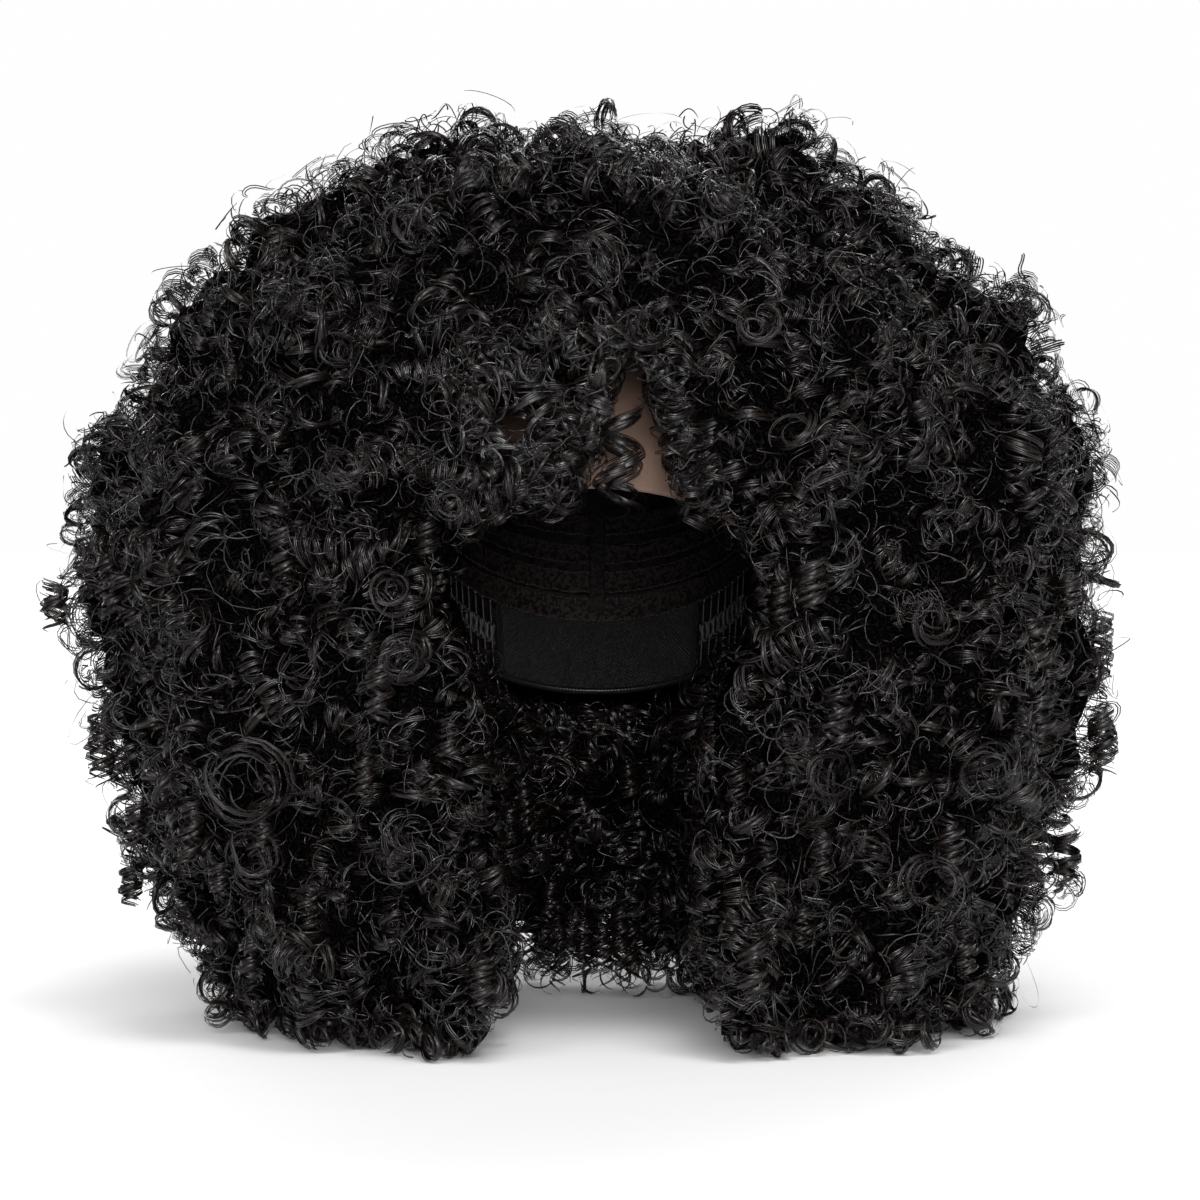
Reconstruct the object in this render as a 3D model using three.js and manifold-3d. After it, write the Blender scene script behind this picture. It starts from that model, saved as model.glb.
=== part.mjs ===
// A curly afro wig with a fringe, standing on its curl ends. Inside the mass of curls sits a hollow cap:
// crown net, skin-tone front panel, elastic nape band, edge binding, weft tracks, centre strap and two combs.
// Millimetres, +Z up. The face opening looks along -Y, and the wearer's left is at +X.

import * as THREE from "three";
import { mergeVertices } from "three/addons/utils/BufferGeometryUtils.js";
import Module from "manifold-3d";

const wasm = await Module();
wasm.setup();

// Clearance between neighbouring pieces
const GAP = 0.3;
// Longer than the wig in every direction, for the solids that cut it
const REACH = 600;

// The cap: an oval dome over a wall that tapers towards the nape
const CAP = { halfWidth: 71, halfLength: 94, middle: 206, rise: 89, taper: 0.15, base: 106, wall: 1.5 };
const CAP_SIDES = 28;
const CAP_RINGS = 10;
// The rim lies in one tilted plane, high at the forehead and low at the nape
const RIM = { front: 216, nape: 126 };
const RIM_TILT = Math.atan((RIM.front - RIM.nape) / (2 * CAP.halfLength));
const RIM_MIDDLE = (RIM.front + RIM.nape) / 2;
// Heights in these tables are measured square to the rim plane, angles from the middle of the back or front
const FRONT_PANEL = { halfAngle: 48, top: 276 };
const NAPE_BAND = { halfAngle: 37, height: 37, hem: 1.2, hemAngle: 2 };
const BINDING = { inside: 1.2, outside: 1.3, height: 2, halfAngle: 131 };
const TRACKS = [
  { name: "weft_track_1", low: 26, high: 35 },
  { name: "weft_track_2", low: 37, high: 45 },
  { name: "weft_track_3", low: 48, high: 55 },
  { name: "weft_track_4", low: 59, high: 66 },
];
const TRACK = { halfAngle: 88, thickness: 1 };
const STRAP = { width: 9, thickness: 1, low: 30, high: 96 };
const COMB = { firstAngle: 41, lastAngle: 62, lift: 16, teeth: 7, toothLength: 28, toothRadius: 0.75 };
const COMB_SPINE = { height: 5, thickness: 1.35 };
// The flats of the many-sided cap lie this much inside its true oval
const CAP_FLAT = CAP.halfLength * (1 - Math.cos(Math.PI / CAP_SIDES));

// Outer form of the curls: how far each level section reaches from the cap's axis, by the wearer's sides
const FORM = [
  { z: 12, right: 142, left: 148, front: 142, back: 150 },
  { z: 29, right: 156, left: 160, front: 147, back: 155 },
  { z: 57, right: 172, left: 170, front: 151, back: 161 },
  { z: 102, right: 183, left: 180, front: 153, back: 168 },
  { z: 152, right: 190, left: 186, front: 154, back: 171 },
  { z: 197, right: 191, left: 190, front: 153, back: 170 },
  { z: 242, right: 180, left: 174, front: 148, back: 162 },
  { z: 282, right: 156, left: 150, front: 134, back: 144 },
  { z: 317, right: 122, left: 114, front: 104, back: 112 },
  { z: 337, right: 88, left: 80, front: 72, back: 80 },
  { z: 347, right: 54, left: 48, front: 42, back: 48 },
];
const FORM_SIDES = 28;
const FORM_RINGS = 8;
// Exponent of the sections' ovals: 2 is an ellipse, more is squarer
const FORM_SQUARENESS = 2.2;
// Drop over which the slope of the form is taken
const SLOPE_DROP = 12;

// Face opening: half widths towards the wearer's right and left, from the floor up
const FACE = [
  { z: -20, right: 38, left: 43 },
  { z: 62, right: 34, left: 35 },
  { z: 122, right: 37, left: 38 },
  { z: 151, right: 45, left: 52 },
  { z: 180, right: 55, left: 61 },
  { z: 202, right: 50, left: 55 },
  { z: 213, right: 30, left: 32 },
];
const NECK = { halfWidth: 54, halfLength: 76, back: 84, top: 182, sides: 28 };
// Bare wedge between the fringe curls, where the front panel shows
const PARTING = { x: 13, halfWidth: 26, bottom: 188, apex: 276 };

// One lock: a corkscrew column whose sections swell from the root and thin to the tip
const LOCK = { length: 82, radius: 18, coil: 8.5, twist: 125, sides: 5 };
const LOCK_SECTIONS = [
  { drop: 0, swell: 0.5 },
  { drop: 0.32, swell: 1 },
  { drop: 0.68, swell: 0.9 },
  { drop: 1, swell: 0.4 },
];
// Rows of locks on the outer form, with the angle kept clear of locks in front
const LOCK_ROWS = [
  { z: 32, count: 14, clear: 19, scale: 0.95 },
  { z: 98, count: 11, clear: 20, scale: 1.05 },
  { z: 158, count: 12, clear: 24, scale: 1.05 },
  { z: 214, count: 11, clear: 29, scale: 1.05 },
  { z: 266, count: 9, clear: 0, scale: 1.05 },
  { z: 307, count: 8, clear: 0, scale: 1 },
  { z: 335, count: 5, clear: 0, scale: 1 },
];
// Locks that hang by themselves: the fringe, and the inner side of the back curtain
const HANGING_SCALE = 0.8;
const HANGING_LOCKS = [
  { x: -46, y: -124, z: 238 },
  { x: -14, y: -130, z: 234 },
  { x: 46, y: -126, z: 240 },
  { x: -28, y: 98, z: 92 },
  { x: 20, y: 98, z: 86 },
  { x: -44, y: 94, z: 33 },
  { x: -6, y: 98, z: 31 },
  { x: 36, y: 96, z: 33 },
];
// Turn from one lock to the next, so that no two neighbours look alike
const GOLDEN_ANGLE = 2.4;

// Where the mass of curls is divided
const CROWN_BOTTOM = 165;
const FRINGE = { halfWidth: 63, back: -30, bottom: 207, top: 281 };
const BACK_HALF_ANGLE = 52;

// Materials
const curls = new THREE.MeshStandardMaterial({ color: 0x15120f, roughness: 0.45, metalness: 0 });
const net = new THREE.MeshStandardMaterial({ color: 0x0d0b0b, roughness: 0.9, metalness: 0 });
const skinTone = new THREE.MeshStandardMaterial({ color: 0x8a6a58, roughness: 0.8, metalness: 0 });
const elastic = new THREE.MeshStandardMaterial({ color: 0x171516, roughness: 0.85, metalness: 0 });
const combPlastic = new THREE.MeshStandardMaterial({ color: 0x1a1a1b, roughness: 0.4, metalness: 0 });

// Turns a closed three.js geometry into a solid.
function solid(geometry) {
  const bare = geometry.clone();
  bare.deleteAttribute("normal");
  bare.deleteAttribute("uv");
  const merged = mergeVertices(bare, 1e-4);
  const kept = [];
  for (let i = 0; i < merged.index.count; i += 3) {
    const corners = [0, 1, 2].map((k) => merged.index.getX(i + k));
    if (new Set(corners).size === 3) kept.push(...corners);
  }
  const mesh = new wasm.Mesh({
    numProp: 3,
    vertProperties: merged.attributes.position.array,
    triVerts: new Uint32Array(kept),
  });
  return new wasm.Manifold(mesh);
}

// Names a solid, gives it its material and keeps only its largest body: a cut can leave loose crumbs.
function piece(name, made, material) {
  const largest = made.decompose().reduce((a, b) => (b.volume() > a.volume() ? b : a));
  const { vertProperties, triVerts } = largest.getMesh();
  const geometry = new THREE.BufferGeometry();
  geometry.setAttribute("position", new THREE.BufferAttribute(vertProperties, 3));
  geometry.setIndex(new THREE.BufferAttribute(triVerts, 1));
  geometry.computeVertexNormals();
  const mesh = new THREE.Mesh(geometry, material);
  mesh.name = name;
  return mesh;
}

function union(solids) {
  return solids.reduce((a, b) => a.add(b));
}

function radians(degrees) {
  return THREE.MathUtils.degToRad(degrees);
}

// Share of the cap's full width and length at a slope angle, which is negative below the cap's middle.
function capShare(slope) {
  return slope < 0 ? 1 - CAP.taper * (1 - Math.cos(slope)) : Math.cos(slope);
}

// The point of the cap's inner surface, moved outwards by offset, at an angle from the back and a height.
function capPoint(angle, z, offset) {
  const share = capShare(Math.asin((z - CAP.middle) / CAP.rise));
  const x = (CAP.halfWidth + offset) * share * Math.sin(angle);
  const y = (CAP.halfLength + offset) * share * Math.cos(angle);
  return new THREE.Vector3(x, y, z);
}

// Height of the rim at an angle from the back.
function rimHeight(angle) {
  return RIM_MIDDLE - ((RIM.front - RIM.nape) / 2) * Math.cos(angle);
}

// The cap's inside as a solid, moved outwards by offset.
function dome(offset) {
  const profile = [new THREE.Vector2(0, CAP.base), new THREE.Vector2(capShare(-Math.PI / 2), CAP.base)];
  for (let ring = 0; ring < CAP_RINGS; ring++) {
    const slope = THREE.MathUtils.lerp(-Math.PI / 2, Math.PI / 2, ring / CAP_RINGS);
    profile.push(new THREE.Vector2(capShare(slope), CAP.middle + (CAP.rise + offset) * Math.sin(slope)));
  }
  profile.push(new THREE.Vector2(0, CAP.middle + CAP.rise + offset));
  const geometry = new THREE.LatheGeometry(profile, CAP_SIDES);
  geometry.rotateX(Math.PI / 2);
  geometry.scale(CAP.halfWidth + offset, CAP.halfLength + offset, 1);
  return solid(geometry);
}

// A wall that follows the cap between two offsets from its inner surface.
function capWall(inner, outer) {
  return dome(outer).subtract(dome(inner));
}

function block(low, high) {
  const size = new THREE.Vector3().subVectors(high, low);
  const geometry = new THREE.BoxGeometry(size.x, size.y, size.z);
  geometry.translate((low.x + high.x) / 2, (low.y + high.y) / 2, (low.z + high.z) / 2);
  return geometry;
}

// The space between two heights above the rim plane.
function rimSlab(low, high) {
  const geometry = block(new THREE.Vector3(-REACH, -REACH, low), new THREE.Vector3(REACH, REACH, high));
  geometry.rotateX(-RIM_TILT);
  geometry.translate(0, 0, RIM_MIDDLE);
  return solid(geometry);
}

// An upright wedge about the cap's axis, widened on both sides by grow: sign is 1 at the back, -1 in front.
function wedge(halfAngle, sign, low, high, grow) {
  const spread = radians(halfAngle);
  const apex = (-sign * grow) / Math.sin(Math.min(spread, Math.PI / 2));
  const side = new THREE.Vector2(REACH * Math.sin(spread), sign * REACH * Math.cos(spread) + apex);
  const outline = [new THREE.Vector2(0, apex), side, new THREE.Vector2(side.x, sign * REACH)];
  outline.push(new THREE.Vector2(-side.x, sign * REACH), new THREE.Vector2(-side.x, side.y));
  const geometry = new THREE.ExtrudeGeometry(new THREE.Shape(outline), {
    depth: high - low,
    bevelEnabled: false,
  });
  geometry.translate(0, 0, low);
  return solid(geometry);
}

// The cap's pieces: wall, front panel, nape band, binding, tracks and strap

function capPieces() {
  const wall = capWall(0, CAP.wall).intersect(rimSlab(0, REACH));
  const front = (grow) => wedge(FRONT_PANEL.halfAngle, -1, 0, FRONT_PANEL.top + grow, grow);
  const nape = (grow) =>
    wedge(NAPE_BAND.halfAngle, 1, 0, CAP.middle, grow).intersect(rimSlab(-REACH, NAPE_BAND.height + grow));
  const crown = wall.subtract(front(GAP)).subtract(nape(GAP));
  return [
    piece("cap_crown", crown, net),
    piece("front_panel", wall.intersect(front(0)), skinTone),
    piece("nape_band", napeBand(wall, nape(0)), elastic),
    piece("edge_binding", edgeBinding(), elastic),
    ...TRACKS.map((track) => piece(track.name, weftTrack(track), net)),
    piece("centre_strap", centreStrap(), net),
  ];
}

// The elastic band is part of the wall, with a raised hem inside along its two ends.
function napeBand(wall, region) {
  const innerEdge = region.subtract(wedge(NAPE_BAND.halfAngle - NAPE_BAND.hemAngle, 1, 0, CAP.middle, 0));
  const hem = capWall(-NAPE_BAND.hem, CAP.wall).intersect(rimSlab(0, TRACKS[0].low - GAP));
  return wall.intersect(region).add(hem.intersect(innerEdge));
}

// The tape that folds round the rim, from cheek to cheek round the back.
function edgeBinding() {
  const tape = capWall(-BINDING.inside, CAP.wall + BINDING.outside);
  const ring = tape.intersect(rimSlab(-GAP - BINDING.height, -GAP));
  return ring.subtract(wedge(180 - BINDING.halfAngle, -1, 0, REACH, 0));
}

function weftTrack({ low, high }) {
  const strip = capWall(-GAP - TRACK.thickness, -GAP).intersect(rimSlab(low, high));
  return strip.intersect(wedge(TRACK.halfAngle, 1, 0, REACH, 0));
}

// The strap runs up the middle of the back, over the weft tracks.
function centreStrap() {
  const outer = -2 * GAP - TRACK.thickness;
  const strip = capWall(outer - STRAP.thickness, outer).intersect(rimSlab(STRAP.low, STRAP.high));
  const low = new THREE.Vector3(-STRAP.width / 2, 0, 0);
  return strip.intersect(solid(block(low, new THREE.Vector3(STRAP.width / 2, REACH, REACH))));
}

// A comb sewn inside the cap beside the nape band: a spine with teeth to both sides, bent to the wall.
// side is 1 at +X and -1 at -X.
function comb(name, side) {
  const inset = -2 * GAP - TRACK.thickness - COMB.toothRadius - CAP_FLAT;
  const parts = [];
  const middles = [];
  for (let i = 0; i < COMB.teeth; i++) {
    const share = i / (COMB.teeth - 1);
    const angle = side * radians(THREE.MathUtils.lerp(COMB.firstAngle, COMB.lastAngle, share));
    const height = rimHeight(angle) + COMB.lift;
    const low = capPoint(angle, height - COMB.toothLength / 2, inset);
    const high = capPoint(angle, height + COMB.toothLength / 2, inset);
    middles.push(new THREE.Vector3().addVectors(low, high).multiplyScalar(0.5));
    parts.push(rod(low, high, COMB.toothRadius));
  }
  const spine = new THREE.CatmullRomCurve3(middles);
  parts.push(solid(uprightStrip(spine, COMB_SPINE.height, COMB_SPINE.thickness, COMB.teeth - 1)));
  return piece(name, union(parts), combPlastic);
}

// A straight square rod between two points.
function rod(from, to, radius) {
  const along = new THREE.Vector3().subVectors(to, from);
  const geometry = new THREE.CylinderGeometry(radius, radius, along.length(), 4);
  const turn = new THREE.Quaternion().setFromUnitVectors(new THREE.Vector3(0, 1, 0), along.normalize());
  geometry.applyQuaternion(turn);
  geometry.translate((from.x + to.x) / 2, (from.y + to.y) / 2, (from.z + to.z) / 2);
  return solid(geometry);
}

// A flat strip carried along a curve on its edge.
function uprightStrip(curve, height, thickness, steps) {
  const rings = [];
  for (let i = 0; i <= steps; i++) {
    const middle = curve.getPoint(i / steps);
    const ahead = curve.getTangent(i / steps);
    const across = new THREE.Vector3(-ahead.y, ahead.x, 0).setLength(thickness / 2);
    const up = new THREE.Vector3(0, 0, height / 2);
    const [below, above] = [middle.clone().sub(up), middle.clone().add(up)];
    const near = [below.clone().sub(across), below.clone().add(across)];
    rings.push([...near, above.clone().add(across), above.clone().sub(across)]);
  }
  return skin(rings);
}

// The closed surface through rings of points, with a flat fan on the first and the last.
function skin(rings) {
  const sides = rings[0].length;
  const points = rings.flat();
  const faces = [];
  for (let ring = 0; ring + 1 < rings.length; ring++) {
    for (let i = 0; i < sides; i++) {
      const a = ring * sides + i;
      const b = ring * sides + ((i + 1) % sides);
      faces.push(a, b, b + sides, a, b + sides, a + sides);
    }
  }
  const last = (rings.length - 1) * sides;
  for (let i = 1; i + 1 < sides; i++) {
    faces.push(0, i + 1, i, last, last + i, last + i + 1);
  }
  const geometry = new THREE.BufferGeometry().setFromPoints(points);
  geometry.setIndex(faces);
  return geometry;
}

// The mass of curls

const FORM_COLUMNS = ["right", "left", "front", "back"];
const formReaches = new THREE.CubicInterpolant(
  FORM.map((row) => row.z),
  FORM.flatMap((row) => FORM_COLUMNS.map((column) => row[column])),
  FORM_COLUMNS.length,
);

// The point of the outer form at a height and an angle from the back, turning towards +X.
function formPoint(angle, z) {
  const [right, left, front, back] = formReaches.evaluate(z);
  const across = Math.sin(angle);
  const along = Math.cos(angle);
  const power = FORM_SQUARENESS;
  const round = (Math.abs(across) ** power + Math.abs(along) ** power) ** (-1 / power);
  const x = across * round * (across > 0 ? left : right);
  return new THREE.Vector3(x, along * round * (along > 0 ? back : front), z);
}

function outerForm() {
  const rings = [];
  for (let ring = 0; ring <= FORM_RINGS; ring++) {
    const z = THREE.MathUtils.lerp(FORM[0].z, FORM.at(-1).z, Math.sin((ring / FORM_RINGS) * (Math.PI / 2)));
    const turn = (i) => formPoint((-2 * Math.PI * i) / FORM_SIDES, z);
    rings.push(Array.from({ length: FORM_SIDES }, (_, i) => turn(i)));
  }
  return solid(skin(rings));
}

// One lock centred on a point, hanging along a direction.
function lock(centre, direction, scale, index) {
  const hand = index % 2 ? 1 : -1;
  const rings = LOCK_SECTIONS.map(({ drop, swell }, section) => {
    const turn = index * GOLDEN_ANGLE + hand * section * radians(LOCK.twist);
    const axis = new THREE.Vector3(Math.cos(turn), Math.sin(turn), 0).multiplyScalar(LOCK.coil * swell);
    axis.z = LOCK.length * (0.5 - drop);
    const corner = (i) => {
      const angle = (-2 * Math.PI * i) / LOCK.sides;
      const out = new THREE.Vector3(Math.cos(angle), Math.sin(angle), 0);
      return axis.clone().addScaledVector(out, LOCK.radius * swell);
    };
    return Array.from({ length: LOCK.sides }, (_, i) => corner(i));
  });
  const geometry = skin(rings);
  geometry.scale(scale, scale, scale);
  geometry.applyQuaternion(new THREE.Quaternion().setFromUnitVectors(new THREE.Vector3(0, 0, -1), direction));
  geometry.translate(centre.x, centre.y, centre.z);
  return solid(geometry);
}

// Locks in rows round the outer form, each lying down the slope of the form.
function locksInRows() {
  const made = [];
  LOCK_ROWS.forEach(({ z, count, clear, scale }, row) => {
    for (let i = 0; i < count; i++) {
      const share = clear ? i / (count - 1) : (i + (row % 2) / 2) / count;
      const angle = radians(THREE.MathUtils.lerp(-180 + clear, 180 - clear, share));
      const centre = formPoint(angle, z);
      const below = formPoint(angle, z - SLOPE_DROP);
      const direction = below.sub(centre).normalize();
      made.push(lock(centre, direction, scale, made.length + row));
    }
  });
  return made;
}

function hangingLocks() {
  const down = new THREE.Vector3(0, 0, -1);
  return HANGING_LOCKS.map(({ x, y, z }, i) => lock(new THREE.Vector3(x, y, z), down, HANGING_SCALE, i));
}

// The way in for the face: an arch through the front, back to the nape.
function faceOpening() {
  const rightSide = FACE.map((row) => new THREE.Vector2(-row.right, row.z)).reverse();
  const leftSide = FACE.map((row) => new THREE.Vector2(row.left, row.z));
  const outline = new THREE.Shape([...leftSide, ...rightSide]);
  const geometry = new THREE.ExtrudeGeometry(outline, { depth: REACH, bevelEnabled: false });
  geometry.rotateX(Math.PI / 2);
  geometry.translate(0, NECK.back, 0);
  return solid(geometry);
}

// The round space for the neck, under the cap.
function neckSpace() {
  const geometry = new THREE.CylinderGeometry(1, 1, NECK.top + REACH, NECK.sides);
  geometry.rotateX(Math.PI / 2);
  geometry.scale(NECK.halfWidth, NECK.halfLength, 1);
  geometry.translate(0, NECK.back - NECK.halfLength, (NECK.top - REACH) / 2);
  return solid(geometry);
}

function fringeParting() {
  const outline = new THREE.Shape([
    new THREE.Vector2(PARTING.x - PARTING.halfWidth, PARTING.bottom),
    new THREE.Vector2(PARTING.x + PARTING.halfWidth, PARTING.bottom),
    new THREE.Vector2(PARTING.x, PARTING.apex),
  ]);
  const geometry = new THREE.ExtrudeGeometry(outline, { depth: REACH, bevelEnabled: false });
  geometry.rotateX(Math.PI / 2);
  return solid(geometry);
}

// What the cap takes out of the curls, with clearance all round.
function capSpace() {
  const inside = dome(CAP.wall + GAP).intersect(rimSlab(-GAP, REACH));
  const binding = dome(CAP.wall + BINDING.outside + GAP);
  return inside.add(binding.intersect(rimSlab(-BINDING.height - 2 * GAP, 0)));
}

function massOfCurls() {
  const opened = union([outerForm(), ...locksInRows()]).subtract(neckSpace()).subtract(faceOpening());
  const parted = opened.subtract(fringeParting());
  const floor = block(new THREE.Vector3(-REACH, -REACH, -REACH), new THREE.Vector3(REACH, REACH, 0));
  return union([parted, ...hangingLocks()]).subtract(capSpace()).subtract(solid(floor));
}

// Divides the mass of curls into crown, fringe, back and two sides.
function curlPieces() {
  let rest = massOfCurls();
  const take = (region, grownRegion) => {
    const taken = rest.intersect(region);
    rest = rest.subtract(grownRegion);
    return taken;
  };
  const above = (z) => {
    const low = new THREE.Vector3(-REACH, -REACH, z);
    return solid(block(low, new THREE.Vector3(REACH, REACH, REACH)));
  };
  const fringe = (grow) => {
    const low = new THREE.Vector3(-FRINGE.halfWidth - grow, -REACH, FRINGE.bottom - grow);
    const high = new THREE.Vector3(FRINGE.halfWidth + grow, FRINGE.back + grow, FRINGE.top + grow);
    return solid(block(low, high));
  };
  const behind = (grow) => wedge(BACK_HALF_ANGLE, 1, -REACH, REACH, grow);
  const beside = (from, to) => {
    const low = new THREE.Vector3(from, -REACH, -REACH);
    return solid(block(low, new THREE.Vector3(to, REACH, REACH)));
  };
  return [
    piece("hair_fringe", take(fringe(0), fringe(GAP)), curls),
    piece("hair_crown", take(above(CROWN_BOTTOM), above(CROWN_BOTTOM - GAP)), curls),
    piece("hair_back", take(behind(0), behind(GAP)), curls),
    piece("hair_right", rest.intersect(beside(-REACH, -GAP)), curls),
    piece("hair_left", rest.intersect(beside(GAP, REACH)), curls),
  ];
}

// Stands the pieces on the floor, with the origin under the middle of their box.
function standing(pieces) {
  const placed = new THREE.Group();
  placed.add(...pieces);
  const box = new THREE.Box3().setFromObject(placed);
  const middle = box.getCenter(new THREE.Vector3());
  placed.position.set(-middle.x, -middle.y, -box.min.z);
  const wig = new THREE.Group();
  wig.name = "curly_wig";
  wig.add(placed);
  return wig;
}

const wig = standing([...capPieces(), comb("comb_right", -1), comb("comb_left", 1), ...curlPieces()]);

export default wig;
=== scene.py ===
"""A curly afro wig with a fringe, standing on its curl ends, with its open cap in view."""

import copy
import math

import bmesh
import bpy
import numpy as np
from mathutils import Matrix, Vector
from mathutils.kdtree import KDTree


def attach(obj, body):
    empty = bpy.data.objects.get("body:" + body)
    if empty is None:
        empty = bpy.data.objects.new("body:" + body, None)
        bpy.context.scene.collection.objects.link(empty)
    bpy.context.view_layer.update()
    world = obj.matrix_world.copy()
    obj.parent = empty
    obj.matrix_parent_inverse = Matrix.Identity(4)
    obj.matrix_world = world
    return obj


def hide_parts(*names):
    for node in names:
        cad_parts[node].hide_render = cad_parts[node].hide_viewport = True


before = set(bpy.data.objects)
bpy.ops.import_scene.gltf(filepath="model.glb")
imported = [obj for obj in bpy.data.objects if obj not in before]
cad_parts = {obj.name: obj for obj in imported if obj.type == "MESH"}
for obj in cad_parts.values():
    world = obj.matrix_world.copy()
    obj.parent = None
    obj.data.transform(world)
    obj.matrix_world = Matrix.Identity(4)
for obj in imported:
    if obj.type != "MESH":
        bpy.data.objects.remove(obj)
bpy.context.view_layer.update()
# One seed for the curls, and one for the thinning of the fringe
rng = np.random.default_rng(20)
fringe_rng = np.random.default_rng(5)

# The cap, in metres: its axis on the floor, its half sizes, and the tilted plane of its rim
CAP_AXIS = np.array([0.00234, -0.01315, 0.0])
CAP_WIDTH = 0.071
CAP_LENGTH = 0.094
CAP_MIDDLE = 0.206
CAP_RISE = 0.089
CAP_TAPER = 0.15
CAP_WALL = 0.0015
SAME_PLACE = 1e-6
RIM_MIDDLE = 0.171
RIM_SLOPE = 90.0 / 188.0
RIM_UP = np.array([0.0, math.sin(math.atan(RIM_SLOPE)), math.cos(math.atan(RIM_SLOPE))])


# Shader maths: a socket that takes part in Python expressions, and one way to add any node

class Value:
    """A node's output socket inside one node tree."""

    def __init__(self, nodes, socket):
        self.nodes = nodes
        self.socket = socket

    def math(self, operation, *others):
        return self.nodes.node("ShaderNodeMath", {"operation": operation}, [self, *others])

    def __add__(self, other):
        return self.math("ADD", other)

    __radd__ = __add__

    def __mul__(self, other):
        return self.math("MULTIPLY", other)

    __rmul__ = __mul__

    def __sub__(self, other):
        return self.math("SUBTRACT", other)

    def __rsub__(self, other):
        return self.nodes.node("ShaderNodeMath", {"operation": "SUBTRACT"}, [other, self])

    def __truediv__(self, other):
        return self.math("DIVIDE", other)

    def __pow__(self, other):
        return self.math("POWER", other)


class Nodes:
    """One node tree, of a material or of the world."""

    def __init__(self, data):
        self.data = data
        self.data.use_nodes = True
        self.tree = self.data.node_tree

    def node(self, kind, settings=None, inputs=(), output=0):
        made = self.tree.nodes.new(kind)
        for name, value in (settings or {}).items():
            setattr(made, name, value)
        pairs = inputs.items() if isinstance(inputs, dict) else enumerate(inputs)
        for name, value in pairs:
            self.feed(made.inputs[name], value)
        return Value(self, made.outputs[output])

    def feed(self, socket, value):
        if isinstance(value, Value):
            self.tree.links.new(value.socket, socket)
        else:
            socket.default_value = value


class Finish(Nodes):
    """A material with one Principled shader."""

    def __init__(self, name, **constants):
        super().__init__(bpy.data.materials.new(name))
        self.shader = self.tree.nodes["Principled BSDF"]
        self.shade(**constants)

    def shade(self, **inputs):
        for socket, value in inputs.items():
            self.feed(self.shader.inputs[socket.replace("_", " ")], value)

    def place(self):
        return self.node("ShaderNodeTexCoord", output="Object")

    def across_and_along(self, layer):
        point = self.node("ShaderNodeUVMap", {"uv_map": layer})
        both = self.node("ShaderNodeSeparateXYZ", inputs=[point])
        return both, Value(self, both.socket.node.outputs[1])

    def noise(self, point, scale, detail=3.0):
        inputs = {"Vector": point, "Scale": scale, "Detail": detail}
        return self.node("ShaderNodeTexNoise", inputs=inputs)

    def blend(self, factor, first, second):
        ends = {0: factor}
        for socket, colour in ((6, first), (7, second)):
            ends[socket] = colour if isinstance(colour, Value) else (*colour, 1.0)
        return self.node("ShaderNodeMix", {"data_type": "RGBA"}, ends, output=2)

    def bump(self, height, distance, strength=1.0):
        inputs = {"Height": height, "Distance": distance, "Strength": strength}
        return self.node("ShaderNodeBump", inputs=inputs)


# Camera, light and floor

VIEW_ELEVATION = math.radians(2.2)
VIEW_DISTANCE = 2.5
VIEW_AIM = Vector((0.0012, 0.0, 0.1693))
VIEW_LENS = 187.5
VIEW_SENSOR = 36.0
# The strength of the ceiling and of the dim room, and of the backdrop as it is seen
CEILING = 0.50
CEILING_SHARPNESS = 4.0
ROOM = 0.010
BACKDROP = 0.993
# Patches of light, in front and behind: the direction towards each, and its strength
PATCHES = [
    ((0.15, -0.5, 0.86), 16.0),
    ((-0.35, -0.8, 0.5), 10.0),
    ((0.08, -0.97, 0.2), 35.0),
    ((0.3, 0.8, 0.5), 8.0),
    ((-0.25, 0.93, 0.25), 10.0),
]
PATCH_SHARPNESS = 60.0
FLOOR_HALF = 6.0


def set_camera():
    aim = Vector(CAP_AXIS) + VIEW_AIM
    away = Vector((0.0, -math.cos(VIEW_ELEVATION), math.sin(VIEW_ELEVATION)))
    camera = bpy.data.cameras.new("view")
    camera.lens = VIEW_LENS
    camera.sensor_width = VIEW_SENSOR
    holder = bpy.data.objects.new("view", camera)
    holder.location = aim + VIEW_DISTANCE * away
    holder.rotation_euler = (math.pi / 2 - VIEW_ELEVATION, 0.0, 0.0)
    bpy.context.collection.objects.link(holder)
    bpy.context.scene.camera = holder


def set_light():
    """A white ceiling and broad patches of light in a dim room, before a white backdrop."""
    scene = bpy.context.scene
    scene.view_settings.view_transform = "Standard"
    scene.world = bpy.data.worlds.new("studio")
    room = Nodes(scene.world)
    direction = room.node("ShaderNodeTexCoord", output="Generated")

    def glow(towards, sharpness, strength):
        """A round patch of light, far off in a direction."""
        both = [direction, Vector(towards).normalized()]
        aligned = room.node("ShaderNodeVectorMath", {"operation": "DOT_PRODUCT"}, both, "Value")
        return aligned.math("MAXIMUM", 0.0) ** sharpness * strength

    light = glow((0.0, 0.0, 1.0), CEILING_SHARPNESS, CEILING) + ROOM
    for towards, strength in PATCHES:
        light = light + glow(towards, PATCH_SHARPNESS, strength)
    seen = room.node("ShaderNodeLightPath", output="Is Camera Ray")
    background = room.tree.nodes["Background"]
    background.inputs["Color"].default_value = (1.0, 1.0, 1.0, 1.0)
    room.feed(background.inputs["Strength"], seen * BACKDROP + (1.0 - seen) * light)


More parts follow.
